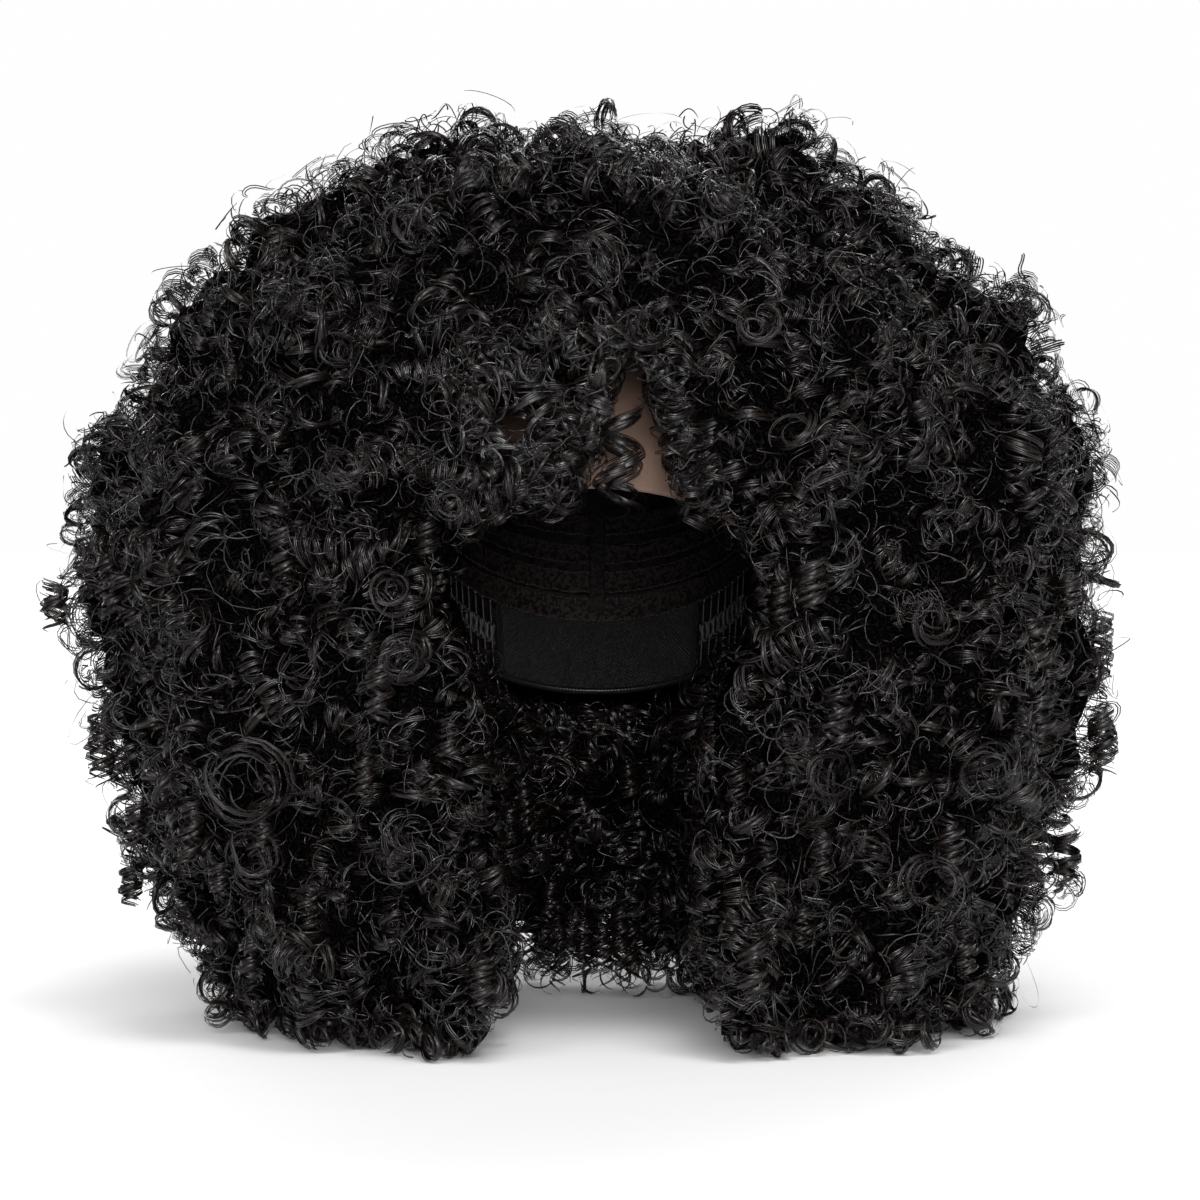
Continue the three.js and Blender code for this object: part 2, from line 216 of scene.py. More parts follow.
def lay_floor():
    shape = bmesh.new()
    bmesh.ops.create_grid(shape, x_segments=1, y_segments=1, size=FLOOR_HALF)
    floor = finished_object("floor", shape)
    paper = Finish("white_paper", Roughness=0.9)
    grain = paper.noise(paper.place(), 30.0)
    paper.shade(Base_Color=paper.blend(grain, (0.955, 0.955, 0.955), (0.975, 0.975, 0.975)))
    floor.data.materials.append(paper.data)


# Pieces

def finished_object(name, shape):
    mesh = bpy.data.meshes.new(name)
    shape.to_mesh(mesh)
    shape.free()
    piece = bpy.data.objects.new(name, mesh)
    bpy.context.collection.objects.link(piece)
    return piece


def dress(piece, finish, node):
    piece.data.materials.clear()
    piece.data.materials.append(finish.data)
    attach(piece, "root")
    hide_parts(node)


def unit(vectors):
    return vectors / np.maximum(np.linalg.norm(vectors, axis=-1, keepdims=True), 1e-9)


# The cap

def cap_share(z):
    """Share of the cap's full width and length at a height."""
    lift = np.clip((z - CAP_MIDDLE) / CAP_RISE, -1.0, 1.0)
    level = np.sqrt(1 - lift ** 2)
    return np.where(lift < 0, 1 - CAP_TAPER * (1 - level), level)


def wall_at_height(angle, z, offset):
    """The cap's inner surface, moved outwards by offset, at an angle from the back and a height."""
    x = (CAP_WIDTH + offset) * cap_share(z) * np.sin(angle)
    y = (CAP_LENGTH + offset) * cap_share(z) * np.cos(angle)
    return np.stack([x, y, z + 0 * x], axis=-1) + CAP_AXIS


def wall_above_rim(angle, height, offset):
    """The same, at a height that is square to the plane of the rim."""
    level = RIM_MIDDLE + height / RIM_UP[2]
    z = level + 0 * angle
    for _ in range(40):
        y = (CAP_LENGTH + offset) * cap_share(z) * np.cos(angle)
        z = (z + level - y * RIM_SLOPE) / 2
    return wall_at_height(angle, z, offset)


def outward(places):
    """The direction out of the cap's wall."""
    local = places - CAP_AXIS - np.array([0.0, 0.0, CAP_MIDDLE])
    local = np.where(np.array([False, False, True]) & (local < 0), 0.0, local)
    return unit(local / np.array([CAP_WIDTH, CAP_LENGTH, CAP_RISE]) ** 2)


def mapped_grid(columns, rows, place):
    """A grid whose corners are placed by a function of their shares, 0 to 1, across and along it."""
    shape = bmesh.new()
    shape.loops.layers.uv.new("cloth")
    bmesh.ops.create_grid(shape, x_segments=columns, y_segments=rows, size=1.0, calc_uvs=True)
    corners = np.array([corner.co for corner in shape.verts])
    corners = (corners - corners.min(axis=0)) / (np.ptp(corners, axis=0) + 1e-9)
    for corner, point in zip(shape.verts, place(corners[:, 0], corners[:, 1])):
        corner.co = point
    return shape


def cloth_wall(shape, thickness):
    """Gives a grid on the cap's wall its thickness, outwards."""
    bmesh.ops.remove_doubles(shape, verts=shape.verts, dist=SAME_PLACE)
    grown = bmesh.ops.extrude_face_region(shape, geom=shape.faces[:], use_keep_orig=True)["geom"]
    corners = [part for part in grown if isinstance(part, bmesh.types.BMVert)]
    directions = outward(np.array([corner.co for corner in corners]))
    for corner, direction in zip(corners, directions):
        corner.co += Vector(direction * thickness)
    bmesh.ops.recalc_face_normals(shape, faces=shape.faces[:])
    return shape


def closed_tube(columns, around, place):
    """A grid wound round into a tube, with its seam merged and its ends filled."""
    shape = mapped_grid(columns, around, place)
    bmesh.ops.remove_doubles(shape, verts=shape.verts, dist=SAME_PLACE)
    bmesh.ops.holes_fill(shape, edges=shape.edges[:], sides=0)
    bmesh.ops.recalc_face_normals(shape, faces=shape.faces[:])
    return shape


def smooth_piece(name, shape):
    piece = finished_object(name, shape)
    piece.data.shade_smooth()
    return piece


BAND_ANGLE = math.radians(37.0)
BAND_HEIGHT = 0.037
BAND_HEM_ANGLE = math.radians(2.2)
BAND_HEM_HEIGHT = 0.0255
BAND_HEM_WALL = 0.0012
PANEL_ANGLE = math.radians(132.0)
PANEL_TOP = 0.276
BINDING_ANGLE = math.radians(131.0)
BINDING_DROP = 0.0012
BINDING_OUT = 0.0006
BINDING_HALF_DEPTH = 0.0019
BINDING_HALF_HEIGHT = 0.0010


def net_finish():
    """Stretched lace: a mesh of fine threads with small holes."""
    net = Finish("cap_net", Roughness=0.7, IOR=1.15)
    place = net.place()
    lace = (net.noise(place, 430.0, 3.0) - 0.44).math("GREATER_THAN", 0.0)
    thread = net.noise(place, 1400.0, 2.0)
    net.shade(Base_Color=net.blend(lace * thread, (0.0006, 0.0005, 0.0005), (0.0120, 0.0096, 0.0089)))
    net.shade(Normal=net.bump(lace * 0.6 + thread * 0.4, 0.0004))
    return net


def sew_crown(net):
    def place(share, up):
        angle = (share - 0.5) * 2 * math.pi
        turn = np.abs(angle)
        rim = wall_above_rim(angle, 0 * angle, 0.0)[:, 2]
        band = wall_above_rim(angle, BAND_HEIGHT + 0 * angle, 0.0)[:, 2]
        low = np.where(turn < BAND_ANGLE, band, np.where(turn > PANEL_ANGLE, PANEL_TOP, rim))
        slope = np.arcsin(np.clip((low - CAP_MIDDLE) / CAP_RISE, -1.0, 1.0))
        slope = slope + (math.pi / 2 - slope) * up
        return wall_at_height(angle, CAP_MIDDLE + CAP_RISE * np.sin(slope), 0.0)

    piece = smooth_piece("crown_net", cloth_wall(mapped_grid(150, 24, place), CAP_WALL))
    dress(piece, net, "cap_crown")


def scalp_finish():
    scalp = Finish("scalp_cloth", Roughness=0.62, Sheen_Weight=0.15)
    place = scalp.place()
    tone = scalp.noise(place, 55.0, 4.0)
    weave = scalp.noise(place, 1600.0, 1.0)
    mixed = tone * 0.7 + weave * 0.3
    scalp.shade(Base_Color=scalp.blend(mixed, (0.108, 0.062, 0.044), (0.212, 0.132, 0.096)))
    scalp.shade(Normal=scalp.bump(weave, 0.0002, 0.6))
    return scalp


def sew_front_panel():
    def place(share, up):
        angle = math.pi + (share - 0.5) * 2 * (math.pi - PANEL_ANGLE)
        low = wall_above_rim(angle, 0 * angle, 0.0)[:, 2]
        return wall_at_height(angle, low + (PANEL_TOP - low) * up, 0.0)

    piece = smooth_piece("scalp_panel", cloth_wall(mapped_grid(60, 30, place), CAP_WALL))
    dress(piece, scalp_finish(), "front_panel")


def elastic_finish(threads, rows):
    """Woven elastic: small raised cells in rows that shift a little from place to place."""
    elastic = Finish("woven_elastic", Roughness=0.5, IOR=1.35)
    across, along = elastic.across_and_along("cloth")
    drift = elastic.noise(elastic.place(), 60.0, 2.0)
    pebble = elastic.noise(elastic.place(), 900.0, 2.0)
    ribs = ((across * threads + drift * 3.0) * (2 * math.pi)).math("SINE")
    picks = ((along * rows + drift * 3.0) * (2 * math.pi)).math("SINE")
    height = ribs * picks * 0.5 + pebble * 1.4 - 0.7
    tone = 0.34 + height * 1.2
    elastic.shade(Base_Color=elastic.blend(tone, (0.0012, 0.0010, 0.0011), (0.0260, 0.0234, 0.0241)))
    elastic.shade(Normal=elastic.bump(height, 0.0007))
    return elastic


def sew_nape_band():
    def place(share, up):
        angle = (share - 0.5) * 2 * BAND_ANGLE
        return wall_above_rim(angle, BAND_HEIGHT * up, 0.0)

    band = smooth_piece("nape_elastic", cloth_wall(mapped_grid(72, 30, place), CAP_WALL))
    dress(band, elastic_finish(76.0, 30.0), "nape_band")
    hem = elastic_finish(6.0, 40.0)
    for name, side in (("nape_hem_right", -1.0), ("nape_hem_left", 1.0)):
        def edge(share, up, side=side):
            angle = side * (BAND_ANGLE - BAND_HEM_ANGLE * (1 - share))
            return wall_above_rim(angle, BAND_HEM_HEIGHT * up, -BAND_HEM_WALL)

        piece = smooth_piece(name, cloth_wall(mapped_grid(6, 40, edge), BAND_HEM_WALL))
        dress(piece, hem, "nape_band")


def laced_tape(name, stitches, light):
    """Lacy tape with a thread along each edge that is caught down by stitches."""
    tape = Finish(name, Roughness=0.65, IOR=1.15)
    across, along = tape.across_and_along("cloth")
    place = tape.place()
    lace = (tape.noise(place, 640.0, 2.0) - 0.49).math("GREATER_THAN", 0.0)
    thread = tape.noise(place, 1300.0, 3.0)
    edge = ((along - 0.5).math("ABSOLUTE") - 0.44).math("GREATER_THAN", 0.0)
    stitch = (across * (stitches * 2 * math.pi)).math("SINE").math("MAXIMUM", 0.0)
    sewn = edge * (0.30 + stitch * 0.70)
    tone = 0.05 + lace * (0.08 + thread * 0.34) + sewn * 0.80
    tape.shade(Base_Color=tape.blend(tone, (0.0008, 0.0006, 0.0006), light))
    tape.shade(Normal=tape.bump(lace * 0.6 + sewn + thread * 0.5, 0.0006))
    return tape


def rolled_finish():
    """Smooth elastic, rolled over the rim, with a faint grain along it."""
    rolled = Finish("rolled_elastic", Roughness=0.42, IOR=1.45)
    across, _ = rolled.across_and_along("cloth")
    grain = rolled.noise(rolled.place(), 700.0, 2.0)
    turns = (across * (420.0 * math.pi)).math("SINE")
    rolled.shade(Base_Color=rolled.blend(grain, (0.002, 0.0018, 0.0018), (0.009, 0.0082, 0.0083)))
    rolled.shade(Normal=rolled.bump(turns * 0.3 + grain, 0.0001))
    return rolled


def roll_binding():
    def place(share, turn):
        angle = (share - 0.5) * 2 * BINDING_ANGLE
        middle = wall_above_rim(angle, -BINDING_DROP + 0 * angle, BINDING_OUT)
        around = (turn * 2 * math.pi)[:, None]
        out = outward(middle)
        out = unit(out - RIM_UP * np.sum(out * RIM_UP, axis=1, keepdims=True))
        deep = out * np.cos(around) * BINDING_HALF_DEPTH
        return middle + deep + RIM_UP * np.sin(around) * BINDING_HALF_HEIGHT

    piece = smooth_piece("rolled_edge", closed_tube(220, 12, place))
    dress(piece, rolled_finish(), "edge_binding")


# The lower and upper edges of the weft tracks, square to the rim
TRACK_HEIGHTS = [
    ("weft_track_1", 0.026, 0.035),
    ("weft_track_2", 0.037, 0.045),
    ("weft_track_3", 0.048, 0.055),
    ("weft_track_4", 0.059, 0.066),
]
TRACK_ANGLE = math.radians(88.0)
TRACK_INSIDE = 0.0016
TAPE_WALL = 0.0010
STRAP_WIDTH = 0.009
STRAP_FOOT = 0.030
STRAP_LENGTH = 0.066
STRAP_INSIDE = 0.0028


def sew_tracks():
    tape = laced_tape("weft_tape", 110.0, (0.0480, 0.0390, 0.0360))
    for node, low, high in TRACK_HEIGHTS:
        def place(share, up, low=low, high=high):
            angle = (share - 0.5) * 2 * TRACK_ANGLE
            ripple = 0.0003 * np.sin(share * 251.0 + 9 * np.sin(share * 17.0 + low * 900.0))
            fold = 0.0006 * np.cos(up * math.pi * 2)
            return wall_above_rim(angle, low + (high - low) * up + ripple, -TRACK_INSIDE - fold)

        piece = smooth_piece("tape_of_" + node, cloth_wall(mapped_grid(160, 8, place), TAPE_WALL))
        dress(piece, tape, node)

    def strap(share, up):
        across = (share - 0.5) * STRAP_WIDTH
        return wall_above_rim(across / CAP_LENGTH, STRAP_FOOT + STRAP_LENGTH * up, -STRAP_INSIDE)

    piece = smooth_piece("crown_strap", cloth_wall(mapped_grid(8, 50, strap), TAPE_WALL))
    dress(piece, laced_tape("strap_tape", 9.0, (0.0260, 0.0210, 0.0195)), "centre_strap")


COMB_TEETH = 7
COMB_LIFT = 0.016
COMB_SLOPE = 0.045
COMB_INSIDE = 0.0029
TOOTH_LENGTH = 0.028
TOOTH_RADIUS = 0.0006
SPINE_HALF_DEPTH = 0.0010
SPINE_HALF_HEIGHT = 0.0042


def comb_finish():
    """Dark plastic with pale rounded tips."""
    plastic = Finish("comb_plastic", Roughness=0.42, IOR=1.3)
    along, _ = plastic.across_and_along("cloth")
    tip = ((along - 0.5).math("ABSOLUTE") - 0.465).math("GREATER_THAN", 0.0)
    speck = plastic.noise(plastic.place(), 700.0)
    pale = tip * (0.6 + speck * 0.4)
    plastic.shade(Base_Color=plastic.blend(pale, (0.006, 0.0057, 0.006), (0.32, 0.32, 0.32)))
    plastic.shade(Normal=plastic.bump(speck, 0.0001, 0.5))
    return plastic


def crossed_thread():
    """Thread wound crosswise over the comb's spine."""
    thread = Finish("comb_thread", Roughness=0.6, IOR=1.35)
    along, around = thread.across_and_along("cloth")
    loose = thread.noise(thread.place(), 500.0, 2.0)
    one = ((along * 9.0 + around * 3.0 + loose * 0.5) * (2 * math.pi)).math("SINE")
    other = ((along * 9.0 - around * 3.0 + loose * 0.5) * (2 * math.pi)).math("SINE")
    height = one.math("MAXIMUM", other) * (0.3 + loose)
    thread.shade(Base_Color=thread.blend(height, (0.0014, 0.0013, 0.0013), (0.070, 0.064, 0.063)))
    thread.shade(Normal=thread.bump(height, 0.0007))
    return thread


def comb_height(angle):
    """The middle of a comb, which follows the rim."""
    return RIM_MIDDLE - COMB_SLOPE * np.cos(angle) + COMB_LIFT


def rounded_box(wave):
    """Makes the wave of a round section into that of a box with rounded corners."""
    return np.sign(wave) * np.abs(wave) ** 0.4


def set_comb(name, node, side, plastic, thread):
    angles = side * np.radians(np.linspace(41.0, 62.0, COMB_TEETH))
    whole = bmesh.new()
    for angle, middle in zip(angles, comb_height(angles)):
        ends = middle + np.array([-0.5, 0.5]) * TOOTH_LENGTH
        low, high = wall_at_height(angle, ends, -COMB_INSIDE)

        def tooth(share, turn, low=low, high=high):
            along = unit(high - low)
            aside = unit(np.cross(along, [0.3, 0.7, 0.2]))
            other = np.cross(along, aside)
            rounding = np.sqrt(np.clip(1 - (np.abs(2 * share - 1)) ** 24, 0.0, 1.0))
            radius = TOOTH_RADIUS * rounding[:, None]
            around = turn[:, None] * 2 * math.pi
            centre = low + (high - low) * share[:, None]
            return centre + aside * np.cos(around) * radius + other * np.sin(around) * radius

        part = bpy.data.meshes.new("tooth")
        tube = closed_tube(20, 8, tooth)
        tube.to_mesh(part)
        tube.free()
        whole.from_mesh(part)
    dress(smooth_piece(name + "_teeth", whole), plastic, node)

    def spine(share, turn):
        angle = side * np.radians(40.0 + 23.0 * share)
        middle = wall_at_height(angle, comb_height(angle), -COMB_INSIDE)
        around = turn * 2 * math.pi
        ripple = 1 + 0.12 * np.sin(share * 44.0 * math.pi)
        thick = rounded_box(np.cos(around)) * SPINE_HALF_DEPTH * ripple
        tall = rounded_box(np.sin(around)) * SPINE_HALF_HEIGHT
        return middle + outward(middle) * thick[:, None] + np.array([0.0, 0.0, 1.0]) * tall[:, None]

    dress(smooth_piece(name + "_spine", closed_tube(88, 16, spine)), thread, node)


def make_cap():
    sew_crown(net_finish())
    sew_front_panel()
    sew_nape_band()
    roll_binding()
    sew_tracks()
    plastic = comb_finish()
    thread = crossed_thread()
    set_comb("right_comb", "comb_right", -1.0, plastic, thread)
    set_comb("left_comb", "comb_left", 1.0, plastic, thread)


# Curls

HAIR_NODES = ["hair_crown", "hair_fringe", "hair_left", "hair_right", "hair_back"]
CURL_NAMES = ["crown", "fringe", "left", "right", "back"]
# Columns of the locks' map, and the margin at each side of a column
TINTS = 16
TINT_EDGE = 0.04
# A piece stays under this number of triangles
PIECE_LIMIT = 190000
# The bare wedge over the forehead: its middle across, its half width at the foot, and its heights
PARTING_ACROSS = 0.013
PARTING_HALF = 0.026
PARTING_FOOT = 0.188
PARTING_APEX = 0.276
# The low part of the fringe, where the scalp shows between ringlets: its reaches across and its heights
FRINGE_RIGHT = 0.044
FRINGE_LEFT = 0.046
FRINGE_LOW = 0.208
FRINGE_HIGH = 0.248
FRINGE_MASS_FOOT = 0.228
FRINGE_THINNED = 0.62
# How far in front of the cap's axis the parting and the fringe start
BROW_FRONT = -0.05
# The mesh of the mass: the gap that is closed between the solids' faces, its grain, and the rounds of
# softening
MASS_SEAM = 1e-5
MASS_GRAIN = 0.006
MASS_ROUNDS = 9
# The clumps of curls: their size, and the depth and width of the crevices between them
CLUMP_SIZE = 0.021
CLUMP_STRAY = 0.004
CREVICE_DEPTH = 0.008
CREVICE_WIDTH = 0.009
CLUMP_RISE = 0.006
# The lower sides are drawn in: below this height, beyond this reach, by these shares to right and left
DRAWN_HEIGHT = 0.08
DRAWN_REACH = 0.08
DRAWN_RIGHT = 0.34
DRAWN_LEFT = 0.08
# The foot: what is let down to the floor, where to, and how low the hairs may come
FOOT_TOP = 0.024
FOOT_LEVEL = 0.003
CORNER_TOP = 0.035
CORNER_ROOM = 0.004
LOW_HAIRS = 0.011
LOWEST_HAIR = 0.0012
LOWEST_EDGE = 0.0003
# How deep the dark mass of painted shade lies under the curls
MASS_DEPTH = 0.0095


def lock_finish(name, hairs, gauge, wander, ior):
    """Hairs side by side on a flat lock: the map holds the lock's number across and its length along.
    Between the hairs, and past the ends of the short ones, the lock is open."""
    hair = Finish(name, IOR=ior)
    across, along = hair.across_and_along("OFBake")
    column = across * float(TINTS)
    lock = column.math("FLOOR")
    strand = column.math("FRACT") * hairs
    number = strand.math("FLOOR") + lock * 31.0

    def chance(shift):
        return hair.node("ShaderNodeTexWhiteNoise", {"noise_dimensions": "1D"}, {"W": number + shift})

    sway = (along * (3.0 + chance(0.2) * 4.0) + chance(0.4) * 6.3).math("SINE") * wander
    middle = 0.5 + (chance(0.6) - 0.5) * wander + sway
    aside = (strand.math("FRACT") - middle).math("ABSOLUTE")
    half = gauge[0] + chance(0.3) * (gauge[1] - gauge[0])
    starts = (along - chance(0.5) * 0.14).math("GREATER_THAN", 0.0)
    ends = (1.0 - chance(0.7) * 0.24 - along).math("GREATER_THAN", 0.0)
    hair.shade(Alpha=(half - aside).math("GREATER_THAN", 0.0) * starts * ends)
    brown = (chance(0.8) - 0.85).math("GREATER_THAN", 0.0) * along * along
    black = hair.blend(chance(0.1), (0.0008, 0.0003, 0.0003), (0.0056, 0.0031, 0.0028))
    hair.shade(Base_Color=hair.blend(brown, black, (0.024, 0.016, 0.0125)))
    hair.shade(Roughness=0.18 + chance(0.9) * 0.22)
    round_side = (1.0 - (aside / half) ** 2.0).math("MAXIMUM", 0.0)
    hair.shade(Normal=hair.bump(round_side, 0.00006))
    return hair


def painted_shade_finish():
    """Painted shade for hair deep in the curls: fine winding lines on near black."""
    shade = Finish("curl_shadow", Roughness=0.5, IOR=1.06)
    place = shade.place()
    flow = shade.noise(place, 100.0, 2.0)
    line = ((flow * 13.0).math("FRACT") - 0.5).math("ABSOLUTE") * 2.0
    tone = line ** 5.0 * shade.noise(place, 160.0, 2.0)
    # Painted shade: near black, darker than the hairs' own black, where the curls lie deep, with faint
    # winding strand lines
    shade.shade(Base_Color=shade.blend(tone, (0.0002, 0.0002, 0.0002), (0.0140, 0.0108, 0.0102)))
    shade.shade(Normal=shade.bump(line, 0.0006))
    return shade


def joined_mass(size, rounds):
    """All the curls' solids as one evenly meshed, softened form."""
    shape = bmesh.new()
    for node in HAIR_NODES:
        shape.from_mesh(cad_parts[node].data)
    bmesh.ops.remove_doubles(shape, verts=shape.verts, dist=MASS_SEAM)
    piece = finished_object("mass", shape)
    even = piece.modifiers.new("even", "REMESH")
    even.mode = "VOXEL"
    even.voxel_size = size
    soften = piece.modifiers.new("soften", "SMOOTH")
    soften.factor = 0.5
    soften.iterations = rounds
    mesh = piece.evaluated_get(bpy.context.evaluated_depsgraph_get()).to_mesh().copy()
    bpy.data.objects.remove(piece)
    return mesh


def near_cap(places, margin, drop):
    """Places within a margin outside the cap's wall, from a drop below its rim upwards."""
    x, y, z = np.moveaxis(places - CAP_AXIS, -1, 0)
    level = np.maximum(z - CAP_MIDDLE, 0.0) / (CAP_RISE + margin)
    inside = (x / (CAP_WIDTH + margin)) ** 2 + (y / (CAP_LENGTH + margin)) ** 2 + level ** 2 < 1.0
    return inside & (z > RIM_MIDDLE - y * RIM_SLOPE - drop)


# The view into the cap: heights, and the reaches towards the wearer's right and left that stay clear
OPENING = np.array([
    (0.000, 0.050, 0.060),
    (0.006, 0.044, 0.053),
    (0.013, 0.037, 0.044),
    (0.022, 0.031, 0.037),
    (0.035, 0.028, 0.034),
    (0.059, 0.033, 0.036),
    (0.116, 0.039, 0.038),
    (0.135, 0.042, 0.048),
    (0.146, 0.047, 0.055),
    (0.174, 0.056, 0.060),
    (0.190, 0.054, 0.060),
    (0.199, 0.042, 0.044),
    (0.206, 0.030, 0.030),
])
# How far back the view into the cap is kept clear
OPENING_BACK = 0.01


def opening_reaches(heights):
    """How far the view into the cap reaches to the wearer's right and left."""
    return [np.interp(heights, OPENING[:, 0], OPENING[:, side]) for side in (1, 2)]


def in_opening(places):
    """Places in front of the middle of the cap that would close the view into it."""
    x, y, z = np.moveaxis(places - CAP_AXIS, -1, 0)
    right, left = opening_reaches(z)
    return (x > -right) & (x < left) & (y < OPENING_BACK) & (z < OPENING[-1, 0])


def in_parting(places, margin):
    """Places in the bare wedge over the forehead, made wider by a margin."""
    x, y, z = np.moveaxis(places - CAP_AXIS, -1, 0)
    half = (PARTING_APEX - z) / (PARTING_APEX - PARTING_FOOT) * PARTING_HALF + margin
    return (np.abs(x - PARTING_ACROSS) < half) & (y < BROW_FRONT) & (z > PARTING_FOOT)


def low_on_fringe(places):
    """Places low on the fringe, where the scalp shows between the ringlets."""
    x, y, z = np.moveaxis(places - CAP_AXIS, -1, 0)
    across = (x > -FRINGE_RIGHT) & (x < FRINGE_LEFT)
    return across & (y < BROW_FRONT) & (z > FRINGE_LOW) & (z < FRINGE_HIGH)


# Under the middle of the back, light shows between the curl ends: its half width and its height
HEM_HALF = 0.040
HEM_HEIGHT = 0.030


def under_hem(places):
    """Places in the light gap under the middle of the back."""
    x, y, z = np.moveaxis(places - CAP_AXIS, -1, 0)
    height = HEM_HEIGHT * (0.8 + 0.25 * np.sin(150 * x + 0.8) + 0.2 * np.sin(410 * x))
    return (np.abs(x) < HEM_HALF) & (y > OPENING_BACK) & (z < height)


class Surface:
    """The mass of curls as arrays, with its foot let down to the floor."""

    def __init__(self, mesh):
        mesh.calc_loop_triangles()
        self.places = np.empty((len(mesh.vertices), 3))
        self.normals = np.empty((len(mesh.vertices), 3))
        self.triangles = np.empty((len(mesh.loop_triangles), 3), dtype=np.int32)
        mesh.vertices.foreach_get("co", self.places.ravel())
        mesh.vertices.foreach_get("normal", self.normals.ravel())
        mesh.loop_triangles.foreach_get("vertices", self.triangles.ravel())
        self.places += self.normals * (CLUMP_RISE - self.crevice())[:, None]
        self.draw_in()
        self.round_corners()
        self.foot = (self.places[:, 2] < FOOT_TOP) & (self.normals[:, 2] < -0.3)
        self.places[self.foot, 2] = FOOT_LEVEL
        self.normals[self.foot, 2] = 0.0
        a, b, c = (self.places[self.triangles[:, i]] for i in range(3))
        across = np.cross(b - a, c - a)
        self.centres = (a + b + c) / 3
        self.facing = unit(across)
        self.share = np.linalg.norm(across, axis=1) * self.seen(self.facing)
        self.area = self.share.sum() / 2
        self.share /= self.share.sum()

    def draw_in(self):
        """Draws in the lower sides towards the foot."""
        low = (1 - np.clip(self.places[:, 2] / DRAWN_HEIGHT, 0.0, 1.0)) ** 1.3
        aside = self.places[:, 0] - CAP_AXIS[0]
        beyond = np.sign(aside) * np.maximum(np.abs(aside) - DRAWN_REACH, 0.0)
        self.places[:, 0] -= beyond * low * np.where(aside < 0, DRAWN_RIGHT, DRAWN_LEFT)

    def round_corners(self):
        """Rounds off the inner corners of the foot, beside the view into the cap."""
        x, y, z = (self.places - CAP_AXIS).T
        right, left = (reach + CORNER_ROOM for reach in opening_reaches(z))
        corner = (y < OPENING_BACK) & (z < CORNER_TOP) & (x > -right) & (x < left)
        self.places[corner, 0] = CAP_AXIS[0] + np.where(x < 0, -right, left)[corner]

    def crevice(self):
        """How deep each point lies in the crevices between clumps of curls."""
        _, middles = np.unique(np.floor(self.places / CLUMP_SIZE), axis=0, return_index=True)
        tree = KDTree(len(middles))
        for number, place in enumerate(self.places[middles] + vary(len(middles), CLUMP_STRAY)):
            tree.insert(place, number)
        tree.balance()
        gaps = np.array([[found[2] for found in tree.find_n(place, 2)] for place in self.places])
        nearness = 1 - np.clip((gaps[:, 1] - gaps[:, 0]) / CREVICE_WIDTH, 0.0, 1.0)
        return CREVICE_DEPTH * nearness ** 1.5

    def seen(self, normal):
        """Curls grow on what shows: not against the cap, not underneath and not in the parting."""
        hidden = near_cap(self.centres, 0.008, 0.012) | in_parting(self.centres, -0.004)
        under = (normal[:, 2] < -0.55) & (self.centres[:, 2] < 0.030)
        return np.where(hidden | under, 0.0, 1.1 - 0.3 * np.clip(normal[:, 1], 0.0, 1.0))

    def only(self, wanted):
        """The same surface, with curls on some of its triangles only."""
        part = copy.copy(self)
        part.share = self.share * wanted
        part.area = self.area * part.share.sum()
        part.share /= part.share.sum()
        return part

    def scatter(self, count):
        """Points spread evenly, one to a cube of space and about as many as asked for, with their
        normals."""
        tries = count * 6
        corners = self.triangles[rng.choice(len(self.triangles), size=tries, p=self.share)]
        u, v = rng.random((2, tries))
        fold = u + v > 1
        u[fold], v[fold] = 1 - u[fold], 1 - v[fold]
        weights = np.stack([1 - u - v, u, v], axis=1)[:, :, None]
        places = (self.places[corners] * weights).sum(axis=1)
        cube = math.sqrt(1.5 * self.area / count)
        _, first = np.unique(np.floor(places / cube + rng.random(3)), axis=0, return_index=True)
        return places[first], unit((self.normals[corners[first]] * weights[first]).sum(axis=1))

    def outermost(self, across, heights, towards=-1.0):
        """The outermost points towards the front or the back, at some places across and heights."""
        rows = []
        for x, z in zip(across, heights):
            off = self.places - CAP_AXIS - np.array([x, 0.0, z])
            outside = self.normals[:, 1] * towards > 0.0
            near = np.flatnonzero((np.hypot(off[:, 0], off[:, 2]) < 0.006) & outside)
            rows.append(near[np.argmax(self.places[near, 1] * towards)])
        return self.places[rows], self.normals[rows]


def region_of(places):
    """Which of the hair nodes each place belongs to."""
    x, y, z = (places - CAP_AXIS).T
    fringe = (np.abs(x) < 0.063) & (y < -0.030) & (z > 0.207) & (z < 0.281)
    back = np.abs(x) < y * math.tan(math.radians(52.0))
    return np.select([fringe, z > 0.165, back, x > 0], [1, 0, 4, 2], 3)


def lean(normals, directions):
    """The part of each direction that lies along the surface."""
    return unit(directions - normals * np.sum(normals * directions, axis=1, keepdims=True))


def hang(normals, sway):
    """Down the slope of the mass, swayed at random."""
    down = np.broadcast_to(np.array([0.0, 0.0, -1.0]), normals.shape)
    return lean(normals, lean(normals, down + 0.01) + sway * rng.normal(size=normals.shape))


def vary(count, amount):
    return rng.normal(size=(count, 3)) * amount


def spreader(times):
    """A function that gives each row a number of times over."""
    return lambda values: np.repeat(values, times, axis=0)


